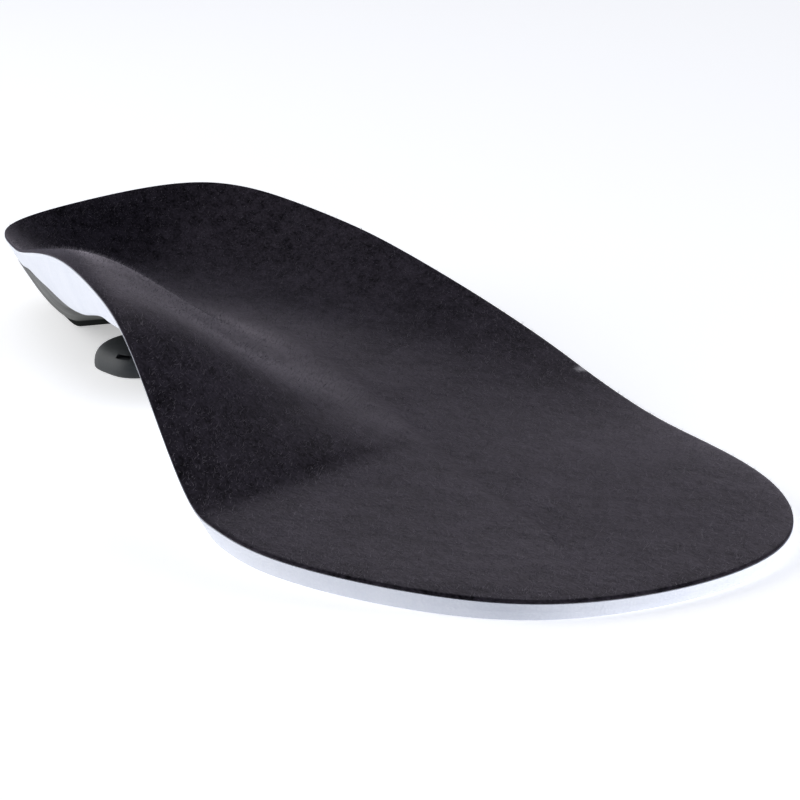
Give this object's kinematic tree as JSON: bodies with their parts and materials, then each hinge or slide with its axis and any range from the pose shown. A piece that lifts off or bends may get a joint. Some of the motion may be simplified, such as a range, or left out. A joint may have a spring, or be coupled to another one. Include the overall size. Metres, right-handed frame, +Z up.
{
  "type": "cycling insole",
  "caption": "Left-foot cycling insole: a raised heel cup and arch with a flat forefoot, black microfibre cover on white foam, in a dark heel shell with an arch piece below.",
  "frame": {"origin": "centre of the bounding box, on the ground that the insole lies on", "axes": "-Y towards the toe, +Y towards the heel, -X towards the arch side of the left foot, +Z up"},
  "size_m": [0.0912, 0.2704, 0.0281],
  "materials": {
    "microfibre": "matte brushed nap",
    "foam": "matte closed-cell foam",
    "shell": "satin moulded",
    "arch_piece": "satin moulded"
  },
  "bodies": {
    "root": {"top_cover": "microfibre", "foam_base": "foam", "heel_shell": "shell", "arch_piece": "arch_piece"}
  },
  "joints": []
}
